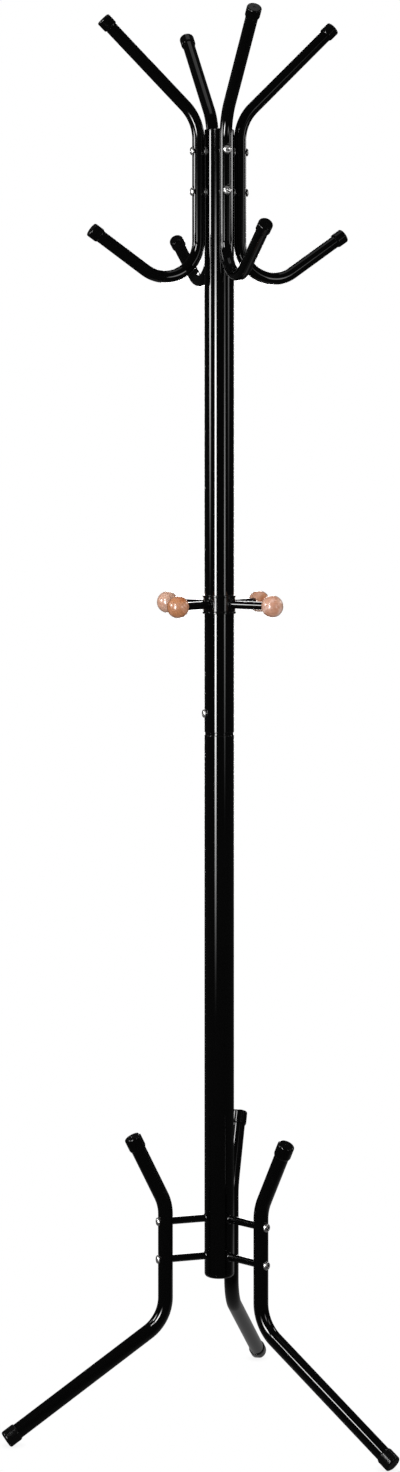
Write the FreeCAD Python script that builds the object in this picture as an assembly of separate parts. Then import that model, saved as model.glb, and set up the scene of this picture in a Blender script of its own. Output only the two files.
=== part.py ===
"""Standing coat rack: a two-part steel pole on three bent legs, with four double-ended
hook tubes bolted round its top and a collar of four wooden knobs half way up.

Units are millimetres, +Z is up.  The pole's axis is the Z axis and the origin lies on the
floor under it.  Directions round the pole are in degrees, counter-clockwise seen from
above: the hooks stand at 0, 90, 180 and 270, and one leg stands at 180.
"""
import FreeCAD, Part
import math
import os

from FreeCAD import Placement, Rotation, Vector

# ---- Driving dimensions -------------------------------------------------------------

# Pole: two lengths of 38 mm tube that meet at a plugged joint.
POLE_RADIUS = 19.0
POLE_WALL = 1.0
POLE_BOTTOM = 188.0
POLE_TOP = 1661.0
JOINT_HEIGHT = 885.0
JOINT_GAP = 3.2
JOINT_BEAD_RADIUS = 18.2
SLEEVE_BELOW = 40.0
SLEEVE_ABOVE = 45.0
SLEEVE_WALL = 1.0
SLIDE_CLEARANCE = 0.1
JOINT_SCREW_HEIGHT = 911.0
JOINT_SCREW_DIRECTION = 180.0

# Plastic plugs that close the two ends of the pole.
TOP_PLUG_HEIGHT = 2.0
TOP_PLUG_ROUNDING = 1.2
BOTTOM_PLUG_HEIGHT = 5.0
BOTTOM_PLUG_ROUNDING = 4.0
PLUG_SKIRT_LENGTH = 18.0
PLUG_SKIRT_WALL = 1.6
PLUG_SKIRT_RADIUS = 17.5
PLUG_RIB_RADIUS = 17.9
PLUG_RIB_HEIGHT = 1.5

# Hook tubes: the tips are the outer faces of the end caps.
HOOK_RADIUS = 8.0
HOOK_WALL = 1.2
HOOK_DIRECTIONS = (0.0, 90.0, 180.0, 270.0)
HOOK_AXIS = 28.0
HOOK_UPPER_TIP = (154.2, 1797.5)
HOOK_UPPER_CORNER_HEIGHT = 1672.5
HOOK_UPPER_BEND = 60.0
HOOK_LOWER_TIP = (172.2, 1529.0)
HOOK_LOWER_CORNER_HEIGHT = 1428.5
HOOK_LOWER_BEND = 46.0
HOOK_UPPER_TURN = -1.0
HOOK_LOWER_TURN = 2.7
HOOK_SCREW_HEIGHTS = (1632.5, 1580.4)

# Leg tubes.
LEG_RADIUS = 9.5
LEG_WALL = 1.2
LEG_DIRECTIONS = (180.0, 300.0, 60.0)
LEG_AXIS = 72.0
LEG_UPPER_TIP = (116.0, 374.6)
LEG_UPPER_CORNER_HEIGHT = 285.5
LEG_UPPER_BEND = 55.0
LEG_FOOT_TIP = (283.0, 7.4)
LEG_LOWER_CORNER_HEIGHT = 139.0
LEG_LOWER_BEND = 50.0
LEG_UPPER_TURN = -1.0
LEG_LOWER_TURN = 2.3
LEG_SCREW_HEIGHTS = (263.7, 215.4)
STRUT_RADIUS = 4.75
STRUT_THREAD_DEPTH = 18.0

# End caps, slipped over the tube ends.
HOOK_CAP_RADIUS = 9.5
HOOK_CAP_LENGTH = 15.0
HOOK_CAP_END_WALL = 3.0
HOOK_CAP_ROUNDING = 1.8
HOOK_CAP_SKIRT_RADIUS = 8.7
LEG_CAP_RADIUS = 11.0
LEG_CAP_LENGTH = 18.0
LEG_CAP_END_WALL = 4.0
LEG_CAP_ROUNDING = 2.5
LEG_CAP_SKIRT_RADIUS = 10.2
CAP_SKIRT_TAPER = 2.0
CAP_CLEARANCE = 0.05

# M6 button-head screws and the nuts that take them.
SCREW_RADIUS = 3.0
SCREW_HEAD_RADIUS = 5.5
SCREW_HEAD_HEIGHT = 3.4
SCREW_HEAD_EDGE = 0.8
SCREW_HEAD_FLAT_RADIUS = 3.0
SOCKET_ACROSS_FLATS = 4.0
SOCKET_DEPTH = 2.0
SCREW_HOLE_RADIUS = 3.3
THREAD_RADIUS = 3.05
SCREW_TIP_RADIUS_FROM_AXIS = 9.5
SEAT_DEPTH = 0.8
SEAT_RADIUS = 5.9
SEAT_SLOPE_HEIGHT = 2.4
RIVET_FLANGE_RADIUS = 6.0
RIVET_BODY_RADIUS = 4.5
RIVET_LENGTH = 12.0
RIVET_BULGE_RADIUS = 5.5
RIVET_BULGE_LENGTH = 2.5
RIVET_HOLE_RADIUS = 4.55
WELD_NUT_ACROSS_FLATS = 10.0
WELD_NUT_HEIGHT = 5.0

# Knobs: a collar round the pole, four threaded rods and four turned wooden balls.
KNOB_HEIGHT = 1051.0
KNOB_DIRECTIONS = (35.0, 125.0, 215.0, 305.0)
COLLAR_HEIGHT = 24.0
COLLAR_RADIUS = 20.5
COLLAR_LIP_RADIUS = 21.3
COLLAR_LIP_HEIGHT = 2.4
COLLAR_LIP_CHAMFER = 0.6
BOSS_RADIUS = 6.2
BOSS_REACH = 23.0
ARM_RADIUS = 5.0
ARM_CHAMFER = 0.4
ARM_INNER_TIP_RADIUS = 3.0
ARM_INNER_TIP_REACH = 12.0
ARM_OUTER_TIP_RADIUS = 2.5
ARM_OUTER_TIP_LENGTH = 13.0
BALL_RADIUS = 14.0
BALL_AXIS = 85.0
BALL_COUNTERBORE_REACH = 73.0
BALL_HOLE_RADIUS = 2.55
BALL_HOLE_END_GAP = 1.5

ORIGIN = Vector(0, 0, 0)
UP = Vector(0, 0, 1)
OUTWARD = Vector(1, 0, 0)
POLE_BORE = POLE_RADIUS - POLE_WALL


# ---- Small helpers ------------------------------------------------------------------

def in_plane(radius, height):
    """Point at this distance from the pole's axis, in direction 0."""
    return Vector(radius, 0, height)


def turned(shape, degrees):
    """Copy of a shape, turned round the pole's axis."""
    copy = shape.copy()
    copy.rotate(ORIGIN, UP, degrees)
    return copy


def placed(shape, position, direction):
    """Copy of a shape modelled up the Z axis, with its Z axis laid along a direction."""
    copy = shape.copy()
    copy.Placement = Placement(position, Rotation(UP, direction))
    return copy


def group(solids):
    """Separate solids that share one node."""
    return Part.makeCompound(solids)


def outline_edges(points):
    """Straight edges through a list of (radius, height) points, not closed."""
    corners = [in_plane(*point) for point in points]
    return [Part.LineSegment(a, b).toShape() for a, b in zip(corners, corners[1:])]


def rounded_corner(start, corner_centre, radius, angle_from, angle_to):
    """Arc edge about a (radius, height) centre; angles from outward, in degrees."""
    def on_arc(angle):
        turn = math.radians(angle)
        return in_plane(corner_centre[0] + radius * math.cos(turn),
                        corner_centre[1] + radius * math.sin(turn))
    middle = on_arc((angle_from + angle_to) / 2)
    return Part.Arc(in_plane(*start), middle, on_arc(angle_to)).toShape()


def lathe(edges):
    """Solid turned from a closed outline of edges in the direction 0 half-plane."""
    face = Part.Face(Part.Wire(Part.__sortEdges__(edges)))
    return face.revolve(ORIGIN, UP, 360)


def lathe_points(points):
    """Solid turned from a closed outline of straight lines."""
    return lathe(outline_edges(list(points) + [points[0]]))


def rod(radius, start, end):
    """Round rod between two points."""
    run = end - start
    return Part.makeCylinder(radius, run.Length, start, run)


def radial_rod(radius, height, reach_from, reach_to):
    """Round rod that points away from the pole's axis, in direction 0."""
    return rod(radius, in_plane(reach_from, height), in_plane(reach_to, height))


def ring_tube(outer, inner, bottom, top):
    """Upright tube about the pole's axis."""
    return lathe_points([(inner, bottom), (outer, bottom), (outer, top), (inner, top)])


def hexagon_prism(across_flats, height):
    """Six-sided prism up the Z axis from the origin."""
    corner_radius = across_flats / math.sqrt(3)
    corners = [Vector(corner_radius * math.cos(math.radians(60 * i)),
                      corner_radius * math.sin(math.radians(60 * i)), 0) for i in range(7)]
    return Part.Face(Part.makePolygon(corners)).extrude(Vector(0, 0, height))


def bent_rod(radius, corners, bends):
    """Round rod along straight runs between corners, joined by tangent bends."""
    pieces = []
    start = corners[0]
    for corner, after, bend in zip(corners[1:-1], corners[2:], bends):
        inward = (corner - start).normalize()
        onward = (after - corner).normalize()
        turn = inward.getAngle(onward)
        setback = bend * math.tan(turn / 2)
        bend_start = corner - inward * setback
        bend_end = corner + onward * setback
        pieces.append(rod(radius, start, bend_start))
        centre = corner + (onward - inward).normalize() * (bend / math.cos(turn / 2))
        section = Part.Face(Part.Wire(Part.makeCircle(radius, bend_start, inward)))
        pieces.append(section.revolve(centre, inward.cross(onward), math.degrees(turn)))
        start = bend_end
    pieces.append(rod(radius, start, corners[-1]))
    return pieces[0].multiFuse(pieces[1:]).removeSplitter()


def pressed_seat(height, face_reach, growth=0.0):
    """Tool for the flat that a screw head presses into a tube, face_reach from the axis."""
    wide_radius = SEAT_RADIUS + SEAT_SLOPE_HEIGHT
    return Part.makeCone(SEAT_RADIUS + growth, wide_radius + growth, SEAT_SLOPE_HEIGHT,
                         in_plane(face_reach - growth, height), OUTWARD)


def bent_tube(radius, wall, corners, bends, seat_reach, screw_heights):
    """Bent tube with pressed seats and through holes for its two screws."""
    outside = bent_rod(radius, corners, bends)
    inside = bent_rod(radius - wall, corners, bends)
    for height in screw_heights:
        outside = outside.cut(pressed_seat(height, seat_reach))
        inside = inside.cut(pressed_seat(height, seat_reach, wall))
    tube = outside.cut(inside)
    for height in screw_heights:
        tube = tube.cut(radial_rod(SCREW_HOLE_RADIUS, height, POLE_RADIUS, seat_reach + radius))
    return tube


# ---- Tube routes --------------------------------------------------------------------

def arm_point(axis, tip, turn):
    """Tip of an arm that is turned a little round its own tube's upright part."""
    reach = tip[0] - axis
    return Vector(axis + reach * math.cos(math.radians(turn)),
                  reach * math.sin(math.radians(turn)), tip[1])


def hook_route():
    """Upper cap face, upper corner, lower corner and lower cap face of a hook tube."""
    return [arm_point(HOOK_AXIS, HOOK_UPPER_TIP, HOOK_UPPER_TURN),
            in_plane(HOOK_AXIS, HOOK_UPPER_CORNER_HEIGHT),
            in_plane(HOOK_AXIS, HOOK_LOWER_CORNER_HEIGHT),
            arm_point(HOOK_AXIS, HOOK_LOWER_TIP, HOOK_LOWER_TURN)]


def leg_route():
    """Upper cap face, upper corner, lower corner and foot cap face of a leg tube."""
    return [arm_point(LEG_AXIS, LEG_UPPER_TIP, LEG_UPPER_TURN),
            in_plane(LEG_AXIS, LEG_UPPER_CORNER_HEIGHT),
            in_plane(LEG_AXIS, LEG_LOWER_CORNER_HEIGHT),
            arm_point(LEG_AXIS, LEG_FOOT_TIP, LEG_LOWER_TURN)]


def shortened(route, end_wall):
    """The same route with both ends drawn back by the thickness of a cap's end wall."""
    first = route[0] + (route[1] - route[0]).normalize() * end_wall
    last = route[-1] + (route[-2] - route[-1]).normalize() * end_wall
    return [first] + route[1:-1] + [last]


# ---- Pole ---------------------------------------------------------------------------

def lower_pole():
    return ring_tube(POLE_RADIUS, POLE_BORE, POLE_BOTTOM + BOTTOM_PLUG_HEIGHT,
                     JOINT_HEIGHT - JOINT_GAP / 2)


def upper_pole():
    """Upper tube, drilled for the hook nuts, the knob rods and the joint screw."""
    pole = ring_tube(POLE_RADIUS, POLE_BORE, JOINT_HEIGHT + JOINT_GAP / 2,
                     POLE_TOP - TOP_PLUG_HEIGHT)
    for direction in HOOK_DIRECTIONS:
        for height in HOOK_SCREW_HEIGHTS:
            hole = radial_rod(RIVET_HOLE_RADIUS, height, POLE_BORE / 2, POLE_RADIUS + 1)
            pole = pole.cut(turned(hole, direction))
    for direction in KNOB_DIRECTIONS:
        hole = radial_rod(SCREW_HOLE_RADIUS, KNOB_HEIGHT, POLE_BORE / 2, POLE_RADIUS + 1)
        pole = pole.cut(turned(hole, direction))
    hole = radial_rod(SCREW_HOLE_RADIUS, JOINT_SCREW_HEIGHT, POLE_BORE / 2, POLE_RADIUS + 1)
    return pole.cut(turned(hole, JOINT_SCREW_DIRECTION))


def pole_joint_sleeve():
    """Inner tube that aligns the two poles, with a bead that keeps them a gap apart."""
    outer = POLE_BORE - SLIDE_CLEARANCE
    bore = outer - SLEEVE_WALL
    gap_bottom = JOINT_HEIGHT - JOINT_GAP / 2
    gap_top = JOINT_HEIGHT + JOINT_GAP / 2
    sleeve = lathe_points([(bore, JOINT_HEIGHT - SLEEVE_BELOW),
                           (outer, JOINT_HEIGHT - SLEEVE_BELOW),
                           (outer, gap_bottom),
                           (JOINT_BEAD_RADIUS, gap_bottom),
                           (JOINT_BEAD_RADIUS, gap_top),
                           (outer, gap_top),
                           (outer, JOINT_HEIGHT + SLEEVE_ABOVE),
                           (bore, JOINT_HEIGHT + SLEEVE_ABOVE)])
    hole = radial_rod(SCREW_HOLE_RADIUS, JOINT_SCREW_HEIGHT, POLE_BORE / 2, POLE_RADIUS)
    return sleeve.cut(turned(hole, JOINT_SCREW_DIRECTION))


def pole_plug(head_height, rounding):
    """Plug modelled head down: its head rests on the tube's end and its skirt goes up."""
    shoulder = head_height
    skirt_end = head_height + PLUG_SKIRT_LENGTH
    rib_start = shoulder + PLUG_SKIRT_LENGTH / 2
    inner = PLUG_SKIRT_RADIUS - PLUG_SKIRT_WALL
    edges = outline_edges([(POLE_RADIUS, rounding), (POLE_RADIUS, shoulder),
                           (PLUG_SKIRT_RADIUS, shoulder), (PLUG_SKIRT_RADIUS, rib_start),
                           (PLUG_RIB_RADIUS, rib_start),
                           (PLUG_RIB_RADIUS, rib_start + PLUG_RIB_HEIGHT),
                           (PLUG_SKIRT_RADIUS, rib_start + PLUG_RIB_HEIGHT),
                           (PLUG_SKIRT_RADIUS, skirt_end), (inner, skirt_end),
                           (inner, shoulder), (0, shoulder), (0, 0),
                           (POLE_RADIUS - rounding, 0)])
    edges.append(rounded_corner((POLE_RADIUS - rounding, 0),
                                (POLE_RADIUS - rounding, rounding), rounding, -90, 0))
    return lathe(edges)


def pole_top_plug():
    plug = pole_plug(TOP_PLUG_HEIGHT, TOP_PLUG_ROUNDING)
    return placed(plug, in_plane(0, POLE_TOP), -UP)


def pole_bottom_plug():
    plug = pole_plug(BOTTOM_PLUG_HEIGHT, BOTTOM_PLUG_ROUNDING)
    return placed(plug, in_plane(0, POLE_BOTTOM), UP)


# ---- Fasteners, each modelled up the Z axis -----------------------------------------

def button_screw(shank_length):
    """Button-head screw: the head stands on the XY plane and the shank hangs below it."""
    rise = SCREW_HEAD_HEIGHT - SCREW_HEAD_EDGE
    run = SCREW_HEAD_RADIUS - SCREW_HEAD_FLAT_RADIUS
    edge_point = in_plane(SCREW_HEAD_RADIUS, SCREW_HEAD_EDGE)
    crown_point = in_plane(SCREW_HEAD_FLAT_RADIUS, SCREW_HEAD_HEIGHT)
    middle = in_plane(SCREW_HEAD_RADIUS - 0.34 * run, SCREW_HEAD_EDGE + 0.66 * rise)
    edges = outline_edges([(SCREW_HEAD_FLAT_RADIUS, SCREW_HEAD_HEIGHT),
                           (0, SCREW_HEAD_HEIGHT), (0, -shank_length),
                           (SCREW_RADIUS, -shank_length), (SCREW_RADIUS, 0),
                           (SCREW_HEAD_RADIUS, 0), (SCREW_HEAD_RADIUS, SCREW_HEAD_EDGE)])
    edges.append(Part.Arc(edge_point, middle, crown_point).toShape())
    socket = hexagon_prism(SOCKET_ACROSS_FLATS, SOCKET_DEPTH)
    socket.translate(Vector(0, 0, SCREW_HEAD_HEIGHT - SOCKET_DEPTH))
    return lathe(edges).cut(socket)


def rivet_nut():
    """Threaded rivet nut: flange on top, body below, swelled behind the pole's wall."""
    flange_height = HOOK_AXIS - HOOK_RADIUS - POLE_RADIUS
    flange_face = HOOK_AXIS - HOOK_RADIUS
    wall_back = math.sqrt(POLE_BORE ** 2 - RIVET_BULGE_RADIUS ** 2)
    bulge_top = wall_back - flange_face
    return lathe_points([(THREAD_RADIUS, 0), (RIVET_FLANGE_RADIUS, 0),
                         (RIVET_FLANGE_RADIUS, -flange_height),
                         (RIVET_BODY_RADIUS, -flange_height),
                         (RIVET_BODY_RADIUS, bulge_top),
                         (RIVET_BULGE_RADIUS, bulge_top),
                         (RIVET_BULGE_RADIUS, bulge_top - RIVET_BULGE_LENGTH),
                         (RIVET_BODY_RADIUS, bulge_top - RIVET_BULGE_LENGTH),
                         (RIVET_BODY_RADIUS, -RIVET_LENGTH),
                         (THREAD_RADIUS, -RIVET_LENGTH)])


def weld_nut():
    """Hexagon nut, with its wall side on the XY plane and its body below."""
    nut = hexagon_prism(WELD_NUT_ACROSS_FLATS, WELD_NUT_HEIGHT)
    nut.translate(Vector(0, 0, -WELD_NUT_HEIGHT))
    bore = Part.makeCylinder(THREAD_RADIUS, WELD_NUT_HEIGHT + 2,
                             Vector(0, 0, -WELD_NUT_HEIGHT - 1))
    return nut.cut(bore)


def nut_reach(bore):
    """Distance from the axis at which a weld nut's corners meet the inside of a tube."""
    return math.sqrt(bore ** 2 - (WELD_NUT_ACROSS_FLATS / math.sqrt(3)) ** 2)


def fastened(piece, directions, heights, reach):
    """The same fastener at each direction and height, pointing away from the pole."""
    copies = []
    for direction in directions:
        for height in heights:
            copies.append(turned(placed(piece, in_plane(reach, height), OUTWARD), direction))
    return group(copies)


def hook_screws():
    seat = HOOK_AXIS + HOOK_RADIUS - SEAT_DEPTH
    screw = button_screw(seat - SCREW_TIP_RADIUS_FROM_AXIS)
    return fastened(screw, HOOK_DIRECTIONS, HOOK_SCREW_HEIGHTS, seat)


def hook_rivet_nuts():
    return fastened(rivet_nut(), HOOK_DIRECTIONS, HOOK_SCREW_HEIGHTS, HOOK_AXIS - HOOK_RADIUS)


def leg_screws():
    seat = LEG_AXIS + LEG_RADIUS - SEAT_DEPTH
    strut_end = LEG_AXIS - LEG_RADIUS
    screw = button_screw(seat - strut_end + STRUT_THREAD_DEPTH - 2)
    return fastened(screw, LEG_DIRECTIONS, LEG_SCREW_HEIGHTS, seat)


def joint_screw():
    screw = button_screw(POLE_RADIUS - SCREW_TIP_RADIUS_FROM_AXIS)
    return fastened(screw, (JOINT_SCREW_DIRECTION,), (JOINT_SCREW_HEIGHT,), POLE_RADIUS)


def joint_weld_nut():
    reach = nut_reach(POLE_BORE - SLIDE_CLEARANCE - SLEEVE_WALL)
    return fastened(weld_nut(), (JOINT_SCREW_DIRECTION,), (JOINT_SCREW_HEIGHT,), reach)


def knob_weld_nuts():
    return fastened(weld_nut(), KNOB_DIRECTIONS, (KNOB_HEIGHT,), nut_reach(POLE_BORE))


# ---- End caps -----------------------------------------------------------------------

def end_cap(tube_radius, radius, length, end_wall, rounding, skirt_radius):
    """Cap modelled with its closed face on the XY plane and its mouth up the Z axis."""
    bore = tube_radius + CAP_CLEARANCE
    edges = outline_edges([(radius, rounding), (radius, length - CAP_SKIRT_TAPER),
                           (skirt_radius, length), (bore, length), (bore, end_wall),
                           (0, end_wall), (0, 0), (radius - rounding, 0)])
    edges.append(rounded_corner((radius - rounding, 0), (radius - rounding, rounding),
                                rounding, -90, 0))
    return lathe(edges)


def hook_cap(tip, corner):
    cap = end_cap(HOOK_RADIUS, HOOK_CAP_RADIUS, HOOK_CAP_LENGTH, HOOK_CAP_END_WALL,
                  HOOK_CAP_ROUNDING, HOOK_CAP_SKIRT_RADIUS)
    return placed(cap, tip, corner - tip)


def leg_cap(tip, corner):
    cap = end_cap(LEG_RADIUS, LEG_CAP_RADIUS, LEG_CAP_LENGTH, LEG_CAP_END_WALL,
                  LEG_CAP_ROUNDING, LEG_CAP_SKIRT_RADIUS)
    return placed(cap, tip, corner - tip)


def foot_cap(tip, corner):
    """Leg cap with a small flat, level with the floor, where it stands."""
    half = 4 * LEG_CAP_RADIUS
    below_floor = Part.makeBox(2 * half, 2 * half, half,
                               Vector(tip.x - half, -half, -half))
    return leg_cap(tip, corner).cut(below_floor)


# ---- Hooks and legs -----------------------------------------------------------------

def hook_tube():
    return bent_tube(HOOK_RADIUS, HOOK_WALL, shortened(hook_route(), HOOK_CAP_END_WALL),
                     (HOOK_UPPER_BEND, HOOK_LOWER_BEND),
                     HOOK_AXIS + HOOK_RADIUS - SEAT_DEPTH, HOOK_SCREW_HEIGHTS)


def leg_tube():
    return bent_tube(LEG_RADIUS, LEG_WALL, shortened(leg_route(), LEG_CAP_END_WALL),
                     (LEG_UPPER_BEND, LEG_LOWER_BEND),
                     LEG_AXIS + LEG_RADIUS - SEAT_DEPTH, LEG_SCREW_HEIGHTS)


def leg_strut(height):
    """Tapped rod from the pole to a leg, hollowed at both ends to fit the tubes."""
    strut = radial_rod(STRUT_RADIUS, height, POLE_RADIUS - STRUT_RADIUS,
                       LEG_AXIS - LEG_RADIUS + STRUT_RADIUS)
    pole = Part.makeCylinder(POLE_RADIUS, 8 * STRUT_RADIUS,
                             in_plane(0, height - 4 * STRUT_RADIUS))
    leg = Part.makeCylinder(LEG_RADIUS, 8 * STRUT_RADIUS,
                            in_plane(LEG_AXIS, height - 4 * STRUT_RADIUS))
    thread = radial_rod(THREAD_RADIUS, height, LEG_AXIS - LEG_RADIUS - STRUT_THREAD_DEPTH,
                        LEG_AXIS)
    return strut.cut(pole).cut(leg).cut(thread)


# ---- Knobs --------------------------------------------------------------------------

def knob_collar():
    """Ring with a lip at each end and a boss for each rod."""
    bore = POLE_RADIUS + SLIDE_CLEARANCE
    bottom = KNOB_HEIGHT - COLLAR_HEIGHT / 2
    top = KNOB_HEIGHT + COLLAR_HEIGHT / 2
    collar = lathe_points([(bore, bottom),
                           (COLLAR_LIP_RADIUS - COLLAR_LIP_CHAMFER, bottom),
                           (COLLAR_LIP_RADIUS, bottom + COLLAR_LIP_CHAMFER),
                           (COLLAR_LIP_RADIUS, bottom + COLLAR_LIP_HEIGHT),
                           (COLLAR_RADIUS, bottom + COLLAR_LIP_HEIGHT + COLLAR_LIP_CHAMFER),
                           (COLLAR_RADIUS, top - COLLAR_LIP_HEIGHT - COLLAR_LIP_CHAMFER),
                           (COLLAR_LIP_RADIUS, top - COLLAR_LIP_HEIGHT),
                           (COLLAR_LIP_RADIUS, top - COLLAR_LIP_CHAMFER),
                           (COLLAR_LIP_RADIUS - COLLAR_LIP_CHAMFER, top),
                           (bore, top)])
    for direction in KNOB_DIRECTIONS:
        collar = collar.fuse(turned(radial_rod(BOSS_RADIUS, KNOB_HEIGHT, bore - 1,
                                               BOSS_REACH), direction))
    collar = collar.cut(Part.makeCylinder(bore, COLLAR_HEIGHT + 2, in_plane(0, bottom - 1)))
    for direction in KNOB_DIRECTIONS:
        collar = collar.cut(turned(radial_rod(SCREW_HOLE_RADIUS, KNOB_HEIGHT, bore / 2,
                                              BOSS_REACH + 1), direction))
    return collar


def knob_arm():
    """Rod with a threaded tip at each end, modelled up the Z axis from the boss."""
    length = BALL_COUNTERBORE_REACH - BOSS_REACH
    inner_tip = BOSS_REACH - ARM_INNER_TIP_REACH
    arm = lathe_points([(0, -inner_tip), (ARM_INNER_TIP_RADIUS, -inner_tip),
                        (ARM_INNER_TIP_RADIUS, 0), (ARM_RADIUS - ARM_CHAMFER, 0),
                        (ARM_RADIUS, ARM_CHAMFER), (ARM_RADIUS, length),
                        (ARM_OUTER_TIP_RADIUS, length),
                        (ARM_OUTER_TIP_RADIUS, length + ARM_OUTER_TIP_LENGTH),
                        (0, length + ARM_OUTER_TIP_LENGTH)])
    return placed(arm, in_plane(BOSS_REACH, KNOB_HEIGHT), OUTWARD)


def knob_ball():
    """Wooden ball, bored for the rod's end and its threaded tip."""
    ball = Part.makeSphere(BALL_RADIUS, in_plane(BALL_AXIS, KNOB_HEIGHT))
    counterbore = radial_rod(ARM_RADIUS + SLIDE_CLEARANCE, KNOB_HEIGHT,
                             BALL_AXIS - 2 * BALL_RADIUS, BALL_COUNTERBORE_REACH)
    hole_end = BALL_COUNTERBORE_REACH + ARM_OUTER_TIP_LENGTH + BALL_HOLE_END_GAP
    hole = radial_rod(BALL_HOLE_RADIUS, KNOB_HEIGHT, BALL_AXIS - BALL_RADIUS, hole_end)
    return ball.cut(counterbore).cut(hole)


# ---- Assembly -----------------------------------------------------------------------

def repeated(name, shape, directions):
    """One numbered node per direction, each a turned copy of the same piece."""
    return {f"{name}_{number}": turned(shape, direction)
            for number, direction in enumerate(directions, start=1)}


def all_nodes():
    """Every piece of the coat rack, by node name."""
    hook_upper, hook_upper_corner, hook_lower_corner, hook_lower = hook_route()
    leg_upper, leg_upper_corner, leg_lower_corner, foot = leg_route()
    nodes = {"lower_pole": lower_pole(),
             "upper_pole": upper_pole(),
             "pole_joint_sleeve": pole_joint_sleeve(),
             "pole_top_plug": pole_top_plug(),
             "pole_bottom_plug": pole_bottom_plug(),
             "joint_screw": joint_screw(),
             "joint_weld_nut": joint_weld_nut(),
             "hook_screws": hook_screws(),
             "hook_rivet_nuts": hook_rivet_nuts(),
             "leg_screws": leg_screws(),
             "knob_collar": knob_collar(),
             "knob_weld_nuts": knob_weld_nuts()}
    nodes.update(repeated("hook_tube", hook_tube(), HOOK_DIRECTIONS))
    nodes.update(repeated("hook_upper_cap", hook_cap(hook_upper, hook_upper_corner),
                          HOOK_DIRECTIONS))
    nodes.update(repeated("hook_lower_cap", hook_cap(hook_lower, hook_lower_corner),
                          HOOK_DIRECTIONS))
    nodes.update(repeated("leg_tube", leg_tube(), LEG_DIRECTIONS))
    nodes.update(repeated("leg_top_cap", leg_cap(leg_upper, leg_upper_corner),
                          LEG_DIRECTIONS))
    nodes.update(repeated("foot_cap", foot_cap(foot, leg_lower_corner), LEG_DIRECTIONS))
    nodes.update(repeated("leg_upper_strut", leg_strut(LEG_SCREW_HEIGHTS[0]),
                          LEG_DIRECTIONS))
    nodes.update(repeated("leg_lower_strut", leg_strut(LEG_SCREW_HEIGHTS[1]),
                          LEG_DIRECTIONS))
    nodes.update(repeated("knob_arm", knob_arm(), KNOB_DIRECTIONS))
    nodes.update(repeated("knob_ball", knob_ball(), KNOB_DIRECTIONS))
    return nodes


def main():
    os.makedirs("parts", exist_ok=True)
    for name, shape in all_nodes().items():
        shape.exportStep(f"parts/{name}.step")
        print(name, "solids", len(shape.Solids), "valid", shape.isValid(),
              "volume", round(shape.Volume, 1))


main()
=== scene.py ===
import math

import bmesh
import bpy
from mathutils import Matrix, Vector


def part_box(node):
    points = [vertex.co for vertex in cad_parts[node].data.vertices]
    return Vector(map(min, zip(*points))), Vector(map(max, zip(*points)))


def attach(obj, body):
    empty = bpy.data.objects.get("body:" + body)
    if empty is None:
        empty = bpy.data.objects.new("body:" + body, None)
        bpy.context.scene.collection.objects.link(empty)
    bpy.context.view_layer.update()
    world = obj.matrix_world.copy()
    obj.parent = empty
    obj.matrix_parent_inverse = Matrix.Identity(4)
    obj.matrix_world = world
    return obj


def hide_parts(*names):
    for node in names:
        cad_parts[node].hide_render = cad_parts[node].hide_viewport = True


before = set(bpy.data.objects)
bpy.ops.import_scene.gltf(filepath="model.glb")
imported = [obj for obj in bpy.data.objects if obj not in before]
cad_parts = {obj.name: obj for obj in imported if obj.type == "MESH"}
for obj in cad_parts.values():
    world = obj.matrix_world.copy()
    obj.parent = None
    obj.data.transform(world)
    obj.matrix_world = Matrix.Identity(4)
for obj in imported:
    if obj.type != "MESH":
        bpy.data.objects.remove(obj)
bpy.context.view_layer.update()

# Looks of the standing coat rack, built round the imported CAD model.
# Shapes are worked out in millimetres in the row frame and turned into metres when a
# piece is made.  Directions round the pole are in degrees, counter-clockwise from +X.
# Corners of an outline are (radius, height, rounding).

MM = 0.001
UP = Vector((0, 0, 1))
OUTWARD = Vector((1, 0, 0))


def cad_box(node):
    """Lowest and highest corner of a CAD node, in millimetres."""
    low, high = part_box(node)
    return low / MM, high / MM


def cad_middle(node):
    """Middle of a CAD node's box, in millimetres."""
    low, high = cad_box(node)
    return (low + high) / 2


# ---- Dimensions: read from the frame, or repeated from the CAD source -------------------

POLE_RADIUS = cad_box("upper_pole")[1].x
POLE_WALL = 1.0
POLE_LOW, JOINT_LOW = cad_box("lower_pole")[0].z, cad_box("lower_pole")[1].z
JOINT_HIGH, POLE_HIGH = cad_box("upper_pole")[0].z, cad_box("upper_pole")[1].z
JOINT_BEAD_RADIUS = 18.2
ROLLED_EDGE = 0.9

PLUG_SKIRT, PLUG_BORE, PLUG_RIB = 17.5, 15.9, 17.9
PLUG_RIB_RISES = (9.0, 9.5, 10.5, 11.0)      # skirt, rib, rib, skirt; above the head
PLUG_WALL, PLUG_DEPTH = 1.0, 18.0
SLEEVE_GAP, SLEEVE_WALL = 0.1, 1.0

HOOK_CAP = dict(radius=9.5, length=15.0, end_wall=3.0, rounding=1.8, skirt=8.7, bore=8.05)
LEG_CAP = dict(radius=11.0, length=18.0, end_wall=4.0, rounding=2.5, skirt=10.2, bore=9.55)
CAP_TAPER = 2.0
GATE_RADIUS, GATE_RIM, GATE_DEPTH = 1.1, 1.6, 0.35

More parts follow.
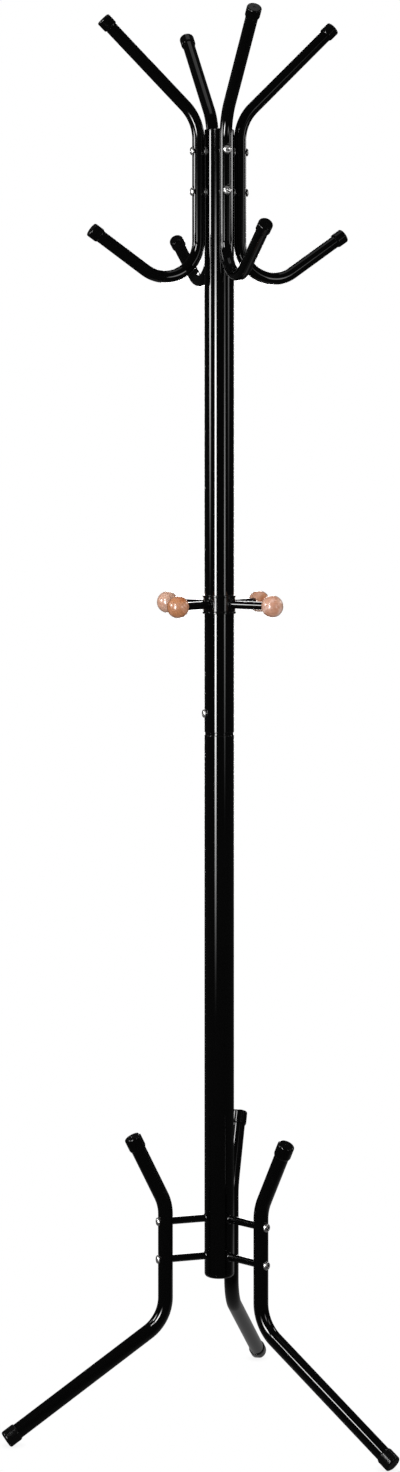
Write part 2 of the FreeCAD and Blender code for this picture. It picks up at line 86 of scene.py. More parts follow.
# A bent tube: upper and lower give the (reach, height) of its ends and the turns swing
# those arms sideways; corners are the heights of its two bends, bends are their radii.
HOOK = dict(radius=8.0, wall=1.2, axis=28.0, upper=(154.2, 1797.5), upper_turn=-1.0,
            lower=(172.2, 1529.0), lower_turn=2.7, corners=(1672.5, 1428.5),
            bends=(60.0, 46.0), screws=(1632.5, 1580.4), directions=(0, 90, 180, 270),
            end_wall=HOOK_CAP["end_wall"], node="hook_tube")
LEG = dict(radius=9.5, wall=1.2, axis=72.0, upper=(116.0, 374.6), upper_turn=-1.0,
           lower=(283.0, 7.4), lower_turn=2.3, corners=(285.5, 139.0),
           bends=(55.0, 50.0), screws=(263.7, 215.4), directions=(180, 300, 60),
           end_wall=LEG_CAP["end_wall"], node="leg_tube")

STRUT_RADIUS = 4.75
WELD_REACH, WELD_SWELL = 2.2, 1.7
WELD_RIPPLE, WELD_WAVES, RIPPLE_FROM = 0.10, 11, 0.3
STRUT_SUNK = 0.5
STRUT_CHAMFER = 0.25

SEAT_DEPTH = 0.8
SEAT_RADIUS = 5.9
SEAT_BLEND = 0.35
SEAT_SLOPE = 0.8
HEAD = dict(radius=5.5, height=3.4, edge=0.8, flat=3.0)
SOCKET_FLATS = 4.0
SOCKET_DEPTH = 2.0
SOCKET_CHAMFER = 0.3
DRILL_DEPTH = 0.6
SOCKET_SPIN = 17.0       # degrees from one screw's socket to the next one's
SHANK_RADIUS = 3.0
SHANK_TIP = 9.5
LEG_SHANK_TIP = 46.5

KNOB_HEIGHT = cad_middle("knob_collar").z
KNOB_DIRECTIONS = [math.degrees(math.atan2(p.y, p.x))
                   for p in (cad_middle(f"knob_ball_{i}") for i in range(1, 5))]
BALL_REACH = cad_middle("knob_ball_1").xy.length
BALL_RADIUS = (cad_box("knob_ball_1")[1] - cad_box("knob_ball_1")[0]).z / 2
BALL_BORE = 5.1
MOUTH_WIDTH, MOUTH_DEPTH = 0.35, 0.45        # softened edge of the ball's bore
BALL_STEPS = 40
BALL_TONES = (0.2, 0.75, 0.0, 0.85)          # 0 a dark blank, 1 a pale one
ROD_RADIUS = 5.0
ROD_FROM, ROD_TO = 23.0, 73.0
INNER_TIP_RADIUS, INNER_TIP_LENGTH = 3.0, 12.0
OUTER_TIP_RADIUS, OUTER_TIP_LENGTH = 2.5, 13.0
BOSS_RADIUS = 6.2
BOSS_FILLET = (-0.5, 1.1)                    # where it starts and ends, from that radius
BOSS_SECTOR = 0.6                            # radians to either side of a rod
COLLAR_WEB, COLLAR_LIP, LIP_HEIGHT, LIP_SLOPE = 20.5, 21.3, 2.4, 0.6
COLLAR_BORE = 19.1
COLLAR_SIDES = 360
COLLAR_ROW = 0.6                             # gap between the rings of its web

ARC_STEP = 11.0          # degrees between the points of a rounded corner
BEND_STEP = 2.0          # degrees between the rings of a bent tube
RUN_STEP = 14.0          # longest gap between the rings of a straight run
FINE_STEP = 0.6          # gap between the rings where a tube is pressed flat
FINE_REACH = 9.0
TUBE_SIDES = 64
POLE_SIDES = 128
SMALL_SIDES = 48
HARD_ANGLE = math.radians(38)
UPRIGHT = 0.999          # least Z of a direction that counts as upright
TINY = 1e-6

EDGE_BEND = (0.35, 1.3)  # radians per millimetre: where wear starts, and where it is full
SHORTEST_GAP = 0.05


# ---- Shapes: lists of points in millimetres and of faces --------------------------------

def ring_band(a, b, size_a, size_b):
    """Faces between two rings of points, either of which may be a single point."""
    faces = []
    for k in range(max(size_a, size_b)):
        after = (k + 1) % max(size_a, size_b)
        if size_a == 1:
            faces.append((a, b + after, b + k))
        elif size_b == 1:
            faces.append((a + k, a + after, b))
        else:
            faces.append((a + k, a + after, b + after, b + k))
    return faces


def loft(rings, wrap):
    """Skin over rings of points; wrapped, it joins the last ring to the first."""
    points, starts, faces = [], [], []
    for ring in rings:
        starts.append(len(points))
        points += ring
    following = list(range(1, len(rings))) + ([0] if wrap else [])
    for i, j in enumerate(following):
        faces += ring_band(starts[i], starts[j], len(rings[i]), len(rings[j]))
    return points, faces


def rounded(corners):
    """Outline through (x, y, rounding) corners, each rounded by its own arc."""
    outline = []
    for i, (x, y, rounding) in enumerate(corners):
        here = Vector((x, y))
        if rounding == 0:
            outline.append(here)
            continue
        back = (Vector(corners[i - 1][:2]) - here).normalized()
        on = (Vector(corners[(i + 1) % len(corners)][:2]) - here).normalized()
        half = back.angle(on) / 2
        centre = here + (back + on).normalized() * rounding / math.sin(half)
        ray = here + back * rounding / math.tan(half) - centre
        sweep = math.copysign(math.pi - 2 * half, -back.cross(on))
        steps = max(2, round(abs(math.degrees(sweep)) / ARC_STEP))
        outline += [centre + Matrix.Rotation(sweep * k / steps, 2) @ ray
                    for k in range(steps + 1)]
    return outline


def circle(radius, height, sides):
    """Ring of points about the Z axis, or one point where the radius is nought."""
    if radius < TINY:
        return [Vector((0, 0, height))]
    return [Vector((radius * math.cos(math.tau * k / sides),
                    radius * math.sin(math.tau * k / sides), height))
            for k in range(sides)]


def lathe(outline, sides):
    """Skin turned about the Z axis from (radius, height) points."""
    on_axis = min(outline[0][0], outline[-1][0]) < TINY
    return loft([circle(x, y, sides) for x, y in outline], not on_axis)


def moved(shape, matrix):
    """Shape with its points taken through a matrix."""
    return [matrix @ p for p in shape[0]], shape[1]


def turned(shape, degrees):
    """Shape turned round the pole's axis."""
    return moved(shape, Matrix.Rotation(math.radians(degrees), 4, "Z"))


def aimed(shape, position, direction, spin=0.0):
    """Shape modelled up the Z axis, spun about it and laid along a direction."""
    lay = direction.to_track_quat("Z", "Y").to_matrix().to_4x4()
    return moved(shape, Matrix.Translation(position) @ lay
                 @ Matrix.Rotation(math.radians(spin), 4, "Z"))


def joined(shapes):
    """Several shapes as one."""
    points, faces = [], []
    for more_points, more_faces in shapes:
        first = len(points)
        points += more_points
        faces += [tuple(first + k for k in face) for face in more_faces]
    return points, faces


def smooth_step(low, high, value):
    """0 below low, 1 above high, and a soft rise between them."""
    t = min(1.0, max(0.0, (value - low) / (high - low)))
    return t * t * (3 - 2 * t)


def smooth_min(a, b, blend):
    """Lower of two values, with a rounded change from one to the other."""
    h = min(1.0, max(0.0, 0.5 + 0.5 * (b - a) / blend))
    return b + (a - b) * h - blend * h * (1 - h)


# ---- Pieces -----------------------------------------------------------------------------

def edge_measures(bm):
    """For each vertex, how tight an outer edge and an inner corner meet there, 0 to 1."""
    wear, cavity = [0.0] * len(bm.verts), [0.0] * len(bm.verts)
    for edge in bm.edges:
        if len(edge.link_faces) != 2:
            continue
        first, second = edge.link_faces
        gap = (first.calc_center_median() - second.calc_center_median()).length / MM
        bend = edge.calc_face_angle_signed(0.0) / max(gap, SHORTEST_GAP)
        for vertex in edge.verts:
            k = vertex.index
            wear[k] = max(wear[k], smooth_step(*EDGE_BEND, bend))
            cavity[k] = max(cavity[k], smooth_step(*EDGE_BEND, -bend))
    return wear, cavity


def shaded_mesh(name, shape):
    """Mesh of a shape in metres, smooth but for its hard edges, with its edge measures."""
    mesh = bpy.data.meshes.new(name)
    mesh.from_pydata([p * MM for p in shape[0]], [], shape[1])
    bm = bmesh.new()
    bm.from_mesh(mesh)
    bmesh.ops.recalc_face_normals(bm, faces=bm.faces)
    bm.verts.index_update()
    for face in bm.faces:
        face.smooth = True
    for edge in bm.edges:
        edge.smooth = edge.calc_face_angle(0.0) < HARD_ANGLE
    measures = zip(("wear", "cavity"), edge_measures(bm))
    bm.to_mesh(mesh)
    bm.free()
    for key, values in measures:
        mesh.attributes.new(key, "FLOAT", "POINT").data.foreach_set("value", values)
    return mesh


def piece(name, shape, slot, *nodes):
    """Blender object made of a shape; it rides on root and stands for its CAD nodes."""
    mesh = shaded_mesh(name, shape)
    mesh.materials.append(MATERIALS[slot])
    made = bpy.data.objects.new(name, mesh)
    bpy.context.scene.collection.objects.link(made)
    weighted = made.modifiers.new("weighted_normals", "WEIGHTED_NORMAL")
    weighted.keep_sharp = True
    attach(made, "root")
    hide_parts(*nodes)
    return made


# ---- Materials --------------------------------------------------------------------------

PAINT_PEEL = 0.000006        # depths of the finest relief, in metres
PLASTIC_GRAIN = 0.00001
RUBBER_GRAIN = 0.00002
PLATING_HAIRS = 0.00001
WOOD_FIBRES = 0.00002
PAINT_IOR, PLASTIC_IOR, LACQUER_IOR = 1.5, 1.40, 1.6

# Colour of the painted shade that darkens the recesses and inner corners of plated parts.
PAINTED_RECESS_SHADE = (0.035, 0.033, 0.030, 1.0)
DARK_WOOD, DARK_RING = (0.56, 0.25, 0.11, 1.0), (0.42, 0.15, 0.055, 1.0)
PALE_WOOD, PALE_RING = (0.72, 0.47, 0.36, 1.0), (0.62, 0.37, 0.27, 1.0)
WOOD_STAIN = (0.46, 0.13, 0.04, 1.0)
WOOD_BLOOM = (0.80, 0.54, 0.46, 1.0)
WOOD_PORES = (0.26, 0.09, 0.04, 1.0)


def add(tree, kind, inputs=None, **settings):
    """New node; inputs are numbers, colours or other nodes' sockets."""
    made = tree.nodes.new(kind)
    for key, value in settings.items():
        setattr(made, key, value)
    for key, value in (inputs or {}).items():
        if isinstance(value, bpy.types.NodeSocket):
            tree.links.new(value, made.inputs[key])
        else:
            made.inputs[key].default_value = value
    return made


def noise(tree, vector, scale, detail=3.0, rough=0.5):
    """Noise from 0 to 1; scale counts its lumps in a metre."""
    return add(tree, "ShaderNodeTexNoise",
               {"Vector": vector, "Scale": scale, "Detail": detail,
                "Roughness": rough}).outputs[0]


def remap(tree, value, low, high, to_low, to_high):
    """Soft change from to_low to to_high while the value goes from low to high."""
    return add(tree, "ShaderNodeMapRange",
               {"Value": value, "From Min": low, "From Max": high,
                "To Min": to_low, "To Max": to_high},
               interpolation_type="SMOOTHSTEP").outputs[0]


def mixed(tree, factor, first, second):
    """Colour between two colours."""
    node = tree.nodes.new("ShaderNodeMix")
    node.data_type = "RGBA"
    for socket, value in zip((node.inputs[0], node.inputs[6], node.inputs[7]),
                             (factor, first, second)):
        if isinstance(value, bpy.types.NodeSocket):
            tree.links.new(value, socket)
        else:
            socket.default_value = value
    return node.outputs[2]


def stretched(tree, vector, scale_z):
    """Place scaled in Z, so that a texture is drawn out (below 1) or packed along it."""
    return add(tree, "ShaderNodeMapping",
               {"Vector": vector, "Scale": (1.0, 1.0, scale_z)}).outputs[0]


def mesh_value(tree, name, output="Fac"):
    """What a piece's mesh keeps at its points under a name."""
    return add(tree, "ShaderNodeAttribute", attribute_name=name).outputs[output]


def maths(tree, operation, first, second):
    return add(tree, "ShaderNodeMath", {0: first, 1: second},
               operation=operation).outputs[0]


def grey(level, tint=(1.0, 1.0, 1.0)):
    return (level * tint[0], level * tint[1], level * tint[2], 1.0)


def bumped(tree, height, depth, below=None):
    """Normal of a fine relief, depth metres deep."""
    inputs = {"Height": height, "Strength": 1.0, "Distance": depth}
    if below is not None:
        inputs["Normal"] = below
    return add(tree, "ShaderNodeBump", inputs).outputs[0]


def new_material(name):
    """Material with its node tree and its shader."""
    material = bpy.data.materials.new(name)
    material.use_nodes = True
    tree = material.node_tree
    return material, tree, tree.nodes["Principled BSDF"]


def object_place(tree):
    """Place on the object, in metres."""
    return add(tree, "ShaderNodeTexCoord").outputs["Object"]


def connect(tree, shader, **sockets):
    """Links nodes, or sets constants, on the shader's inputs (underscores for spaces)."""
    for key, value in sockets.items():
        socket = shader.inputs[key.replace("_", " ")]
        if isinstance(value, bpy.types.NodeSocket):
            tree.links.new(value, socket)
        else:
            socket.default_value = value


def black_paint():
    """Glossy black enamel: faint orange peel, uneven gloss, thin and scuffed on edges."""
    material, tree, shader = new_material("black_paint")
    place = object_place(tree)
    clouds = noise(tree, place, 22.0, 4.0)
    peel = noise(tree, place, 240.0, 1.0)
    specks = noise(tree, place, 1900.0, 2.0)
    rub = maths(tree, "MULTIPLY", mesh_value(tree, "wear"),
                remap(tree, specks, 0.35, 0.65, 0.2, 1.0))
    base = mixed(tree, clouds, grey(0.0008), grey(0.0016))
    base = mixed(tree, rub, base, grey(0.008))
    gloss = remap(tree, clouds, 0.3, 0.7, 0.035, 0.065)
    gloss = maths(tree, "ADD", gloss, maths(tree, "MULTIPLY", rub, 0.12))
    connect(tree, shader, Base_Color=base, Roughness=gloss, IOR=PAINT_IOR,
            Normal=bumped(tree, peel, PAINT_PEEL))
    return material


def moulded(name, dark, light, low_gloss, high_gloss, grain_scale, grain_depth):
    """Moulded plastic or rubber: fine spark grain, uneven gloss, paler on its edges."""
    material, tree, shader = new_material(name)
    place = object_place(tree)
    clouds = noise(tree, place, 60.0, 4.0)
    grain = noise(tree, place, grain_scale, 3.0, 0.6)
    scuffs = noise(tree, place, 260.0, 5.0, 0.7)
    rub = maths(tree, "MULTIPLY", mesh_value(tree, "wear"),
                remap(tree, scuffs, 0.4, 0.6, 0.15, 1.0))
    base = mixed(tree, clouds, grey(dark), grey(light))
    base = mixed(tree, rub, base, grey(light * 2.6))
    gloss = remap(tree, scuffs, 0.35, 0.65, low_gloss, high_gloss)
    connect(tree, shader, Base_Color=base, Roughness=gloss, IOR=PLASTIC_IOR,
            Normal=bumped(tree, grain, grain_depth))
    return material


def plated(name, pale, dull, low_gloss, high_gloss):
    """Plated steel: mottled plating, fine hairlines, rubbed edges, and painted shade in
    its recesses.
    """
    material, tree, shader = new_material(name)
    place = object_place(tree)
    mottle = noise(tree, place, 500.0, 4.0, 0.6)
    hairs = noise(tree, stretched(tree, place, 9.0), 900.0, 3.0, 0.6)
    rub = maths(tree, "MULTIPLY", mesh_value(tree, "wear"), 0.5)
    # Painted shade: sockets and inner corners are darkened toward a near-black colour,
    # where shade would fall.
    painted_recess_shade = remap(tree, mesh_value(tree, "cavity"), 0.0, 0.6, 0.0, 1.0)
    base = mixed(tree, remap(tree, mottle, 0.3, 0.7, 0.0, 1.0), dull, pale)
    base = mixed(tree, painted_recess_shade, mixed(tree, rub, base, pale), PAINTED_RECESS_SHADE)
    gloss = remap(tree, hairs, 0.3, 0.7, low_gloss, high_gloss)
    connect(tree, shader, Base_Color=base, Roughness=gloss, Metallic=1.0,
            Normal=bumped(tree, hairs, PLATING_HAIRS))
    return material


def wood_rings(tree, blank):
    """Growth rings of a turning blank, a little wavy."""
    return add(tree, "ShaderNodeTexWave",
               {"Vector": blank, "Scale": 120.0, "Distortion": 3.2, "Detail": 3.0,
                "Detail Scale": 1.4, "Detail Roughness": 0.6},
               wave_type="RINGS", rings_direction="Z", wave_profile="SAW").outputs["Fac"]


def wood_colour(tree, blank, fibres):
    """Dark or pale wood by the blank's tone, with stained and pale patches and pores."""
    tone = mesh_value(tree, "tone")
    rings = wood_rings(tree, blank)
    swirl = noise(tree, blank, 70.0, 3.0)
    patches = noise(tree, blank, 38.0, 4.0, 0.6)
    base = mixed(tree, tone, mixed(tree, rings, DARK_WOOD, DARK_RING),
                 mixed(tree, rings, PALE_WOOD, PALE_RING))
    stain = maths(tree, "MULTIPLY", remap(tree, patches, 0.45, 0.60, 0.0, 1.0),
                  remap(tree, tone, 0.0, 1.0, 0.95, 0.45))
    base = mixed(tree, stain, base, WOOD_STAIN)
    bloom = maths(tree, "MULTIPLY", remap(tree, swirl, 0.34, 0.50, 1.0, 0.0),
                  remap(tree, tone, 0.0, 1.0, 0.15, 0.80))
    base = mixed(tree, bloom, base, WOOD_BLOOM)
    return mixed(tree, remap(tree, fibres, 0.56, 0.72, 0.0, 0.4), base, WOOD_PORES)


def lacquered_wood():
    """Turned wood under clear lacquer, its grain placed by the mesh, not by the object."""
    material, tree, shader = new_material("lacquered_wood")
    grain = mesh_value(tree, "grain", "Vector")
    fibres = noise(tree, stretched(tree, grain, 0.05), 2600.0, 4.0, 0.6)
    base = wood_colour(tree, stretched(tree, grain, 0.22), fibres)
    connect(tree, shader, Base_Color=base, Normal=bumped(tree, fibres, WOOD_FIBRES),
            Coat_Weight=1.0, Coat_Roughness=0.05, Coat_IOR=LACQUER_IOR,
            Roughness=remap(tree, fibres, 0.3, 0.7, 0.34, 0.46))
    return material


MATERIALS = {
    "black_paint": black_paint(),
    "black_plastic": moulded("black_plastic", dark=0.0012, light=0.0024, low_gloss=0.07,
                             high_gloss=0.13, grain_scale=3200.0,
                             grain_depth=PLASTIC_GRAIN),
    "foot_rubber": moulded("foot_rubber", dark=0.0020, light=0.0035, low_gloss=0.12,
                           high_gloss=0.22, grain_scale=2200.0,
                           grain_depth=RUBBER_GRAIN),
    "bright_steel": plated("bright_steel", pale=grey(0.96, (1.0, 0.99, 0.98)),
                           dull=grey(0.84, (1.0, 0.99, 0.97)),
                           low_gloss=0.28, high_gloss=0.44),
    "zinc_steel": plated("zinc_steel", pale=grey(0.90, (0.98, 1.0, 1.02)),
                         dull=grey(0.74, (1.0, 0.99, 0.94)),
                         low_gloss=0.34, high_gloss=0.52),
    "lacquered_wood": lacquered_wood(),
}


# ---- Pole -------------------------------------------------------------------------------

def pole_tube(bottom, top, roll_bottom, roll_top):
    """One length of the pole; an edge that shows is rolled over."""
    bore = POLE_RADIUS - POLE_WALL
    return lathe(rounded([(bore, bottom, 0), (POLE_RADIUS, bottom, roll_bottom),
                          (POLE_RADIUS, top, roll_top), (bore, top, 0)]),
                 POLE_SIDES)


def pole_plug(head_height, rounding):
    """Plug modelled head down: flat head with a rounded rim, and a ribbed skirt."""
    skirt, rib, bore = PLUG_SKIRT, PLUG_RIB, PLUG_BORE
    rib_foot, rib_low, rib_high, rib_end = (head_height + rise for rise in PLUG_RIB_RISES)
    floor, mouth = head_height + PLUG_WALL, head_height + PLUG_DEPTH
    return lathe(rounded([(0, 0, 0), (POLE_RADIUS, 0, rounding),
                          (POLE_RADIUS, head_height, 0.15), (skirt, head_height, 0),
                          (skirt, rib_foot, 0), (rib, rib_low, 0.2), (rib, rib_high, 0.2),
                          (skirt, rib_end, 0), (skirt, mouth, 0.3), (bore, mouth, 0.3),
                          (bore, floor, 0), (0, floor, 0)]),
                 POLE_SIDES)


def joint_sleeve():
    """Inner tube with the rounded bead that shows between the two lengths of the pole."""
    low, high = cad_box("pole_joint_sleeve")
    outer = POLE_RADIUS - POLE_WALL - SLEEVE_GAP
    bore = POLE_RADIUS - POLE_WALL - (SLEEVE_GAP + SLEEVE_WALL)
    return lathe(rounded([(bore, low.z, 0.3), (outer, low.z, 0.3), (outer, JOINT_LOW, 0),
                          (JOINT_BEAD_RADIUS, JOINT_LOW, 0.12),
                          (JOINT_BEAD_RADIUS, JOINT_HIGH, 0.12), (outer, JOINT_HIGH, 0),
                          (outer, high.z, 0.3), (bore, high.z, 0.3)]),
                 POLE_SIDES)


def make_pole():
    piece("lower_pole_painted", pole_tube(POLE_LOW, JOINT_LOW, 0.3, ROLLED_EDGE),
          "black_paint", "lower_pole")
    piece("upper_pole_painted", pole_tube(JOINT_HIGH, POLE_HIGH, ROLLED_EDGE, 0.3),
          "black_paint", "upper_pole")
    piece("joint_sleeve_painted", joint_sleeve(), "black_paint", "pole_joint_sleeve")
    plug_top, plug_bottom = cad_box("pole_top_plug")[1].z, cad_box("pole_bottom_plug")[0].z
    top = aimed(pole_plug(plug_top - POLE_HIGH, 1.2), UP * plug_top, -UP)
    piece("top_plug_moulded", top, "black_plastic", "pole_top_plug")
    bottom = aimed(pole_plug(POLE_LOW - plug_bottom, 4.0), UP * plug_bottom, UP)
    piece("bottom_plug_moulded", bottom, "black_plastic", "pole_bottom_plug")


# ---- Bent tubes -------------------------------------------------------------------------

def arm_point(axis, tip, turn):
    """End of an arm that is turned a little round its tube's upright part."""
    reach = tip[0] - axis
    return Vector((axis + reach * math.cos(math.radians(turn)),
                   reach * math.sin(math.radians(turn)), tip[1]))


def route(tube):
    """Upper cap face, upper corner, lower corner and lower cap face, in direction 0."""
    return [arm_point(tube["axis"], tube["upper"], tube["upper_turn"]),
            Vector((tube["axis"], 0, tube["corners"][0])),
            Vector((tube["axis"], 0, tube["corners"][1])),
            arm_point(tube["axis"], tube["lower"], tube["lower_turn"])]


def run_stations(start, end, fine_heights):
    """(point, direction) along a straight run without its end, closer at some heights."""
    run, direction = end - start, (end - start).normalized()
    count = math.ceil(run.length / RUN_STEP)
    along = {run.length * k / count for k in range(count)}
    if abs(direction.z) > UPRIGHT:
        fine = round(FINE_REACH / FINE_STEP)
        for height in fine_heights:
            middle = abs(height - start.z)
            along = {a for a in along
                     if abs(a - middle) > FINE_REACH + FINE_STEP or a == 0}
            along |= {middle + k * FINE_STEP for k in range(-fine, fine + 1)}
    return [(start + direction * a, direction) for a in sorted(along)]


def stations(corners, bends, fine_heights):
    """(point, direction) along straight runs joined by tangent bends."""
    made, start = [], corners[0]
    for corner, after, bend in zip(corners[1:-1], corners[2:], bends):
        inward, onward = (corner - start).normalized(), (after - corner).normalized()
        turn = inward.angle(onward)
        setback = bend * math.tan(turn / 2)
        bend_start = corner - inward * setback
        made += run_stations(start, bend_start, fine_heights)
        centre = corner + (onward - inward).normalized() * (bend / math.cos(turn / 2))
        steps = round(math.degrees(turn) / BEND_STEP)
        for k in range(steps):
            spin = Matrix.Rotation(turn * k / steps, 3, inward.cross(onward))
            made.append((centre + spin @ (bend_start - centre), spin @ inward))
        start = corner + onward * setback
    made += run_stations(start, corners[-1], fine_heights)
    return made + [(corners[-1], made[-1][1])]


def tube_rings(path, radius):
    """Round sections along a path, turned from one to the next without twist."""
    rings, across, before = [], Vector((0, 1, 0)), path[0][1]
    for point, direction in path:
        across = before.rotation_difference(direction) @ across
        across = (across - direction * across.dot(direction)).normalized()
        other = direction.cross(across)
        rings.append([point + (across * math.cos(math.tau * k / TUBE_SIDES)
                               + other * math.sin(math.tau * k / TUBE_SIDES)) * radius
                      for k in range(TUBE_SIDES)])
        before = direction
    return rings


def pressed(point, tube):
    """Point of the tube's skin, pushed in where a screw head has pressed its seat."""
    seat = tube["axis"] + tube["radius"] - SEAT_DEPTH
    for height in tube["screws"]:
        away = math.hypot(point.y, point.z - height)
        if away < FINE_REACH and point.x > tube["axis"]:
            limit = seat + max(0.0, away - SEAT_RADIUS) * SEAT_SLOPE
            return Vector((smooth_min(point.x, limit, SEAT_BLEND), point.y, point.z))
    return point


def bent_tube(tube):
    """Hollow bent tube with pressed screw seats, in direction 0."""
    corners = route(tube)
    corners[0] += (corners[1] - corners[0]).normalized() * tube["end_wall"]
    corners[-1] += (corners[-2] - corners[-1]).normalized() * tube["end_wall"]
    outer = tube_rings(stations(corners, tube["bends"], tube["screws"]), tube["radius"])
    outer = [[pressed(p, tube) for p in ring] for ring in outer]
    inner = tube_rings(stations(corners, tube["bends"], ()), tube["radius"] - tube["wall"])
    return loft(outer + inner[::-1], wrap=True)


def end_cap(cap):
    """Cap modelled with its closed face on the XY plane and its mouth up the Z axis."""
    radius, length, bore = cap["radius"], cap["length"], cap["bore"]
    return lathe(rounded([(0, GATE_DEPTH, 0), (GATE_RADIUS, GATE_DEPTH, 0.2),
                          (GATE_RIM, 0, 0.3), (radius, 0, cap["rounding"]),
                          (radius, length - CAP_TAPER, 1.5),
                          (cap["skirt"], length, 0.25), (bore, length, 0.15),
                          (bore, cap["end_wall"], 0), (0, cap["end_wall"], 0)]),
                 TUBE_SIDES)


def above_floor(shape):
    """Shape flattened where it would reach below the floor."""
    return [Vector((p.x, p.y, max(p.z, 0.0))) for p in shape[0]], shape[1]


def make_tubes(tube, cap, upper_name, lower_name, lower_slot):
    """The same bent tube and its two caps in each of the tube's directions."""
    skin = bent_tube(tube)
    ends = route(tube)
    upper = aimed(end_cap(cap), ends[0], ends[1] - ends[0])
    lower = aimed(end_cap(cap), ends[-1], ends[-2] - ends[-1])
    for number, direction in enumerate(tube["directions"], start=1):
        node = f"{tube['node']}_{number}"
        piece(node + "_painted", turned(skin, direction), "black_paint", node)
        node = f"{upper_name}_{number}"
        piece(node + "_moulded", turned(upper, direction), "black_plastic", node)
        node = f"{lower_name}_{number}"
        piece(node + "_moulded", above_floor(turned(lower, direction)), lower_slot, node)


# ---- Struts -----------------------------------------------------------------------------

def strut_ring(height, grow, offset, at_leg):
    """Ring laid on the pole, or on the leg tube, at an offset and grown beyond the rod."""
    ring = []
    for k in range(SMALL_SIDES):
        angle = math.tau * k / SMALL_SIDES
        ripple = 1 + (WELD_RIPPLE * math.sin(angle * WELD_WAVES)
                      if grow > RIPPLE_FROM else 0.0)
        radius = STRUT_RADIUS + grow * ripple
        y, z = radius * math.cos(angle), radius * math.sin(angle)
        if at_leg:
            x = LEG["axis"] - math.sqrt(LEG["radius"] ** 2 - y * y) - offset
        else:
            x = math.sqrt(POLE_RADIUS ** 2 - y * y) + offset
        ring.append(Vector((x, y, height + z)))
    return ring


def strut(height):
    """Rod from the pole to a leg, with a small weld fillet where it meets the pole."""
    rings = [[Vector((POLE_RADIUS - STRUT_SUNK, 0, height))]]
    for degrees in range(0, 91, 15):
        offset = WELD_REACH * (1 - math.cos(math.radians(degrees)))
        swell = WELD_SWELL * (1 - math.sin(math.radians(degrees)))
        rings.append(strut_ring(height, swell, offset, at_leg=False))
    rings += [strut_ring(height, 0, 6, at_leg=False),
              strut_ring(height, 0, 14, at_leg=True),
              strut_ring(height, 0, STRUT_CHAMFER, at_leg=True),
              strut_ring(height, -STRUT_CHAMFER, 0, at_leg=True),
              [Vector((LEG["axis"] - LEG["radius"], 0, height))]]
    return loft(rings, wrap=False)


def make_struts():
    for name, height in zip(("leg_upper_strut", "leg_lower_strut"), LEG["screws"]):
        for number, direction in enumerate(LEG["directions"], start=1):
            node = f"{name}_{number}"
            piece(node + "_painted", turned(strut(height), direction), "black_paint", node)


# ---- Screws -----------------------------------------------------------------------------

def socket_ring(height):
    """Six-sided ring with a point for each point of a round ring."""
    ring = []
    for k in range(SMALL_SIDES):
        angle = math.tau * k / SMALL_SIDES
        fold = (angle % (math.pi / 3)) - math.pi / 6
        radius = SOCKET_FLATS / 2 / math.cos(fold)
        ring.append(Vector((radius * math.cos(angle), radius * math.sin(angle), height)))
    return ring


def button_screw(shank):
    """Button-head screw: domed head, chamfered hexagon socket with a drilled bottom."""
    rise, run = HEAD["height"] - HEAD["edge"], HEAD["radius"] - HEAD["flat"]
    mouth = SOCKET_FLATS / 2 / math.cos(math.pi / 6) + 0.25
    outline = rounded([(0, -shank, 0), (SHANK_RADIUS, -shank, 0.5), (SHANK_RADIUS, 0, 0),
                       (HEAD["radius"], 0, 0.25)])
    outline += [(HEAD["flat"] + run * math.cos(math.radians(a)),
                 HEAD["edge"] + rise * math.sin(math.radians(a))) for a in range(0, 85, 7)]
    outline += [(HEAD["flat"], HEAD["height"]), (mouth, HEAD["height"])]
    rings = [circle(x, y, SMALL_SIDES) for x, y in outline]
    floor = HEAD["height"] - SOCKET_DEPTH
    rings += [socket_ring(HEAD["height"] - SOCKET_CHAMFER), socket_ring(floor + 0.15)]
    rings += [circle(SOCKET_FLATS / 2 - SOCKET_CHAMFER, floor, SMALL_SIDES),
              circle(0, floor - DRILL_DEPTH, SMALL_SIDES)]
    return loft(rings, wrap=False)


def screws_at(directions, heights, seat, shank):
    """The same screw at each direction and height, its socket turned each time."""
    made = []
    for direction in directions:
        for height in heights:
            spin = SOCKET_SPIN * (len(made) + 1)
            screw = aimed(button_screw(shank), Vector((seat, 0, height)), OUTWARD, spin)
            made.append(turned(screw, direction))
    return joined(made)


def make_screws():
    hook_seat = HOOK["axis"] + HOOK["radius"] - SEAT_DEPTH
    piece("hook_screws_plated", screws_at(HOOK["directions"], HOOK["screws"], hook_seat,
                                          hook_seat - SHANK_TIP),
          "bright_steel", "hook_screws")
    leg_seat = LEG["axis"] + LEG["radius"] - SEAT_DEPTH
    piece("leg_screws_plated", screws_at(LEG["directions"], LEG["screws"], leg_seat,
                                         leg_seat - LEG_SHANK_TIP),
          "bright_steel", "leg_screws")
    middle = cad_middle("joint_screw")
    piece("joint_screw_plated", screws_at((180,), (middle.z,), POLE_RADIUS,
                                          POLE_RADIUS - SHANK_TIP),
          "bright_steel", "joint_screw")


# ---- Knobs ------------------------------------------------------------------------------

def boss_reach(radius, angle, height):
    """Radius of the collar's skin at an angle, where a boss may grow out of it."""
    reach = radius
    for direction in KNOB_DIRECTIONS:
        off = math.radians((angle - direction + 180) % 360 - 180)
        if abs(off) > BOSS_SECTOR:
            continue
        face = ROD_FROM / math.cos(off)
        away = math.hypot(face * math.sin(off), height - KNOB_HEIGHT)
        share = 1 - smooth_step(BOSS_RADIUS + BOSS_FILLET[0],
                                BOSS_RADIUS + BOSS_FILLET[1], away)
        reach = max(reach, radius + (face - radius) * share)
    return reach


def collar_ring(radius, height):
    ring = []
    for k in range(COLLAR_SIDES):
        angle = 360 * k / COLLAR_SIDES
        reach = boss_reach(radius, angle, height)
        ring.append(Vector((reach * math.cos(math.radians(angle)),
                            reach * math.sin(math.radians(angle)), height)))
    return ring


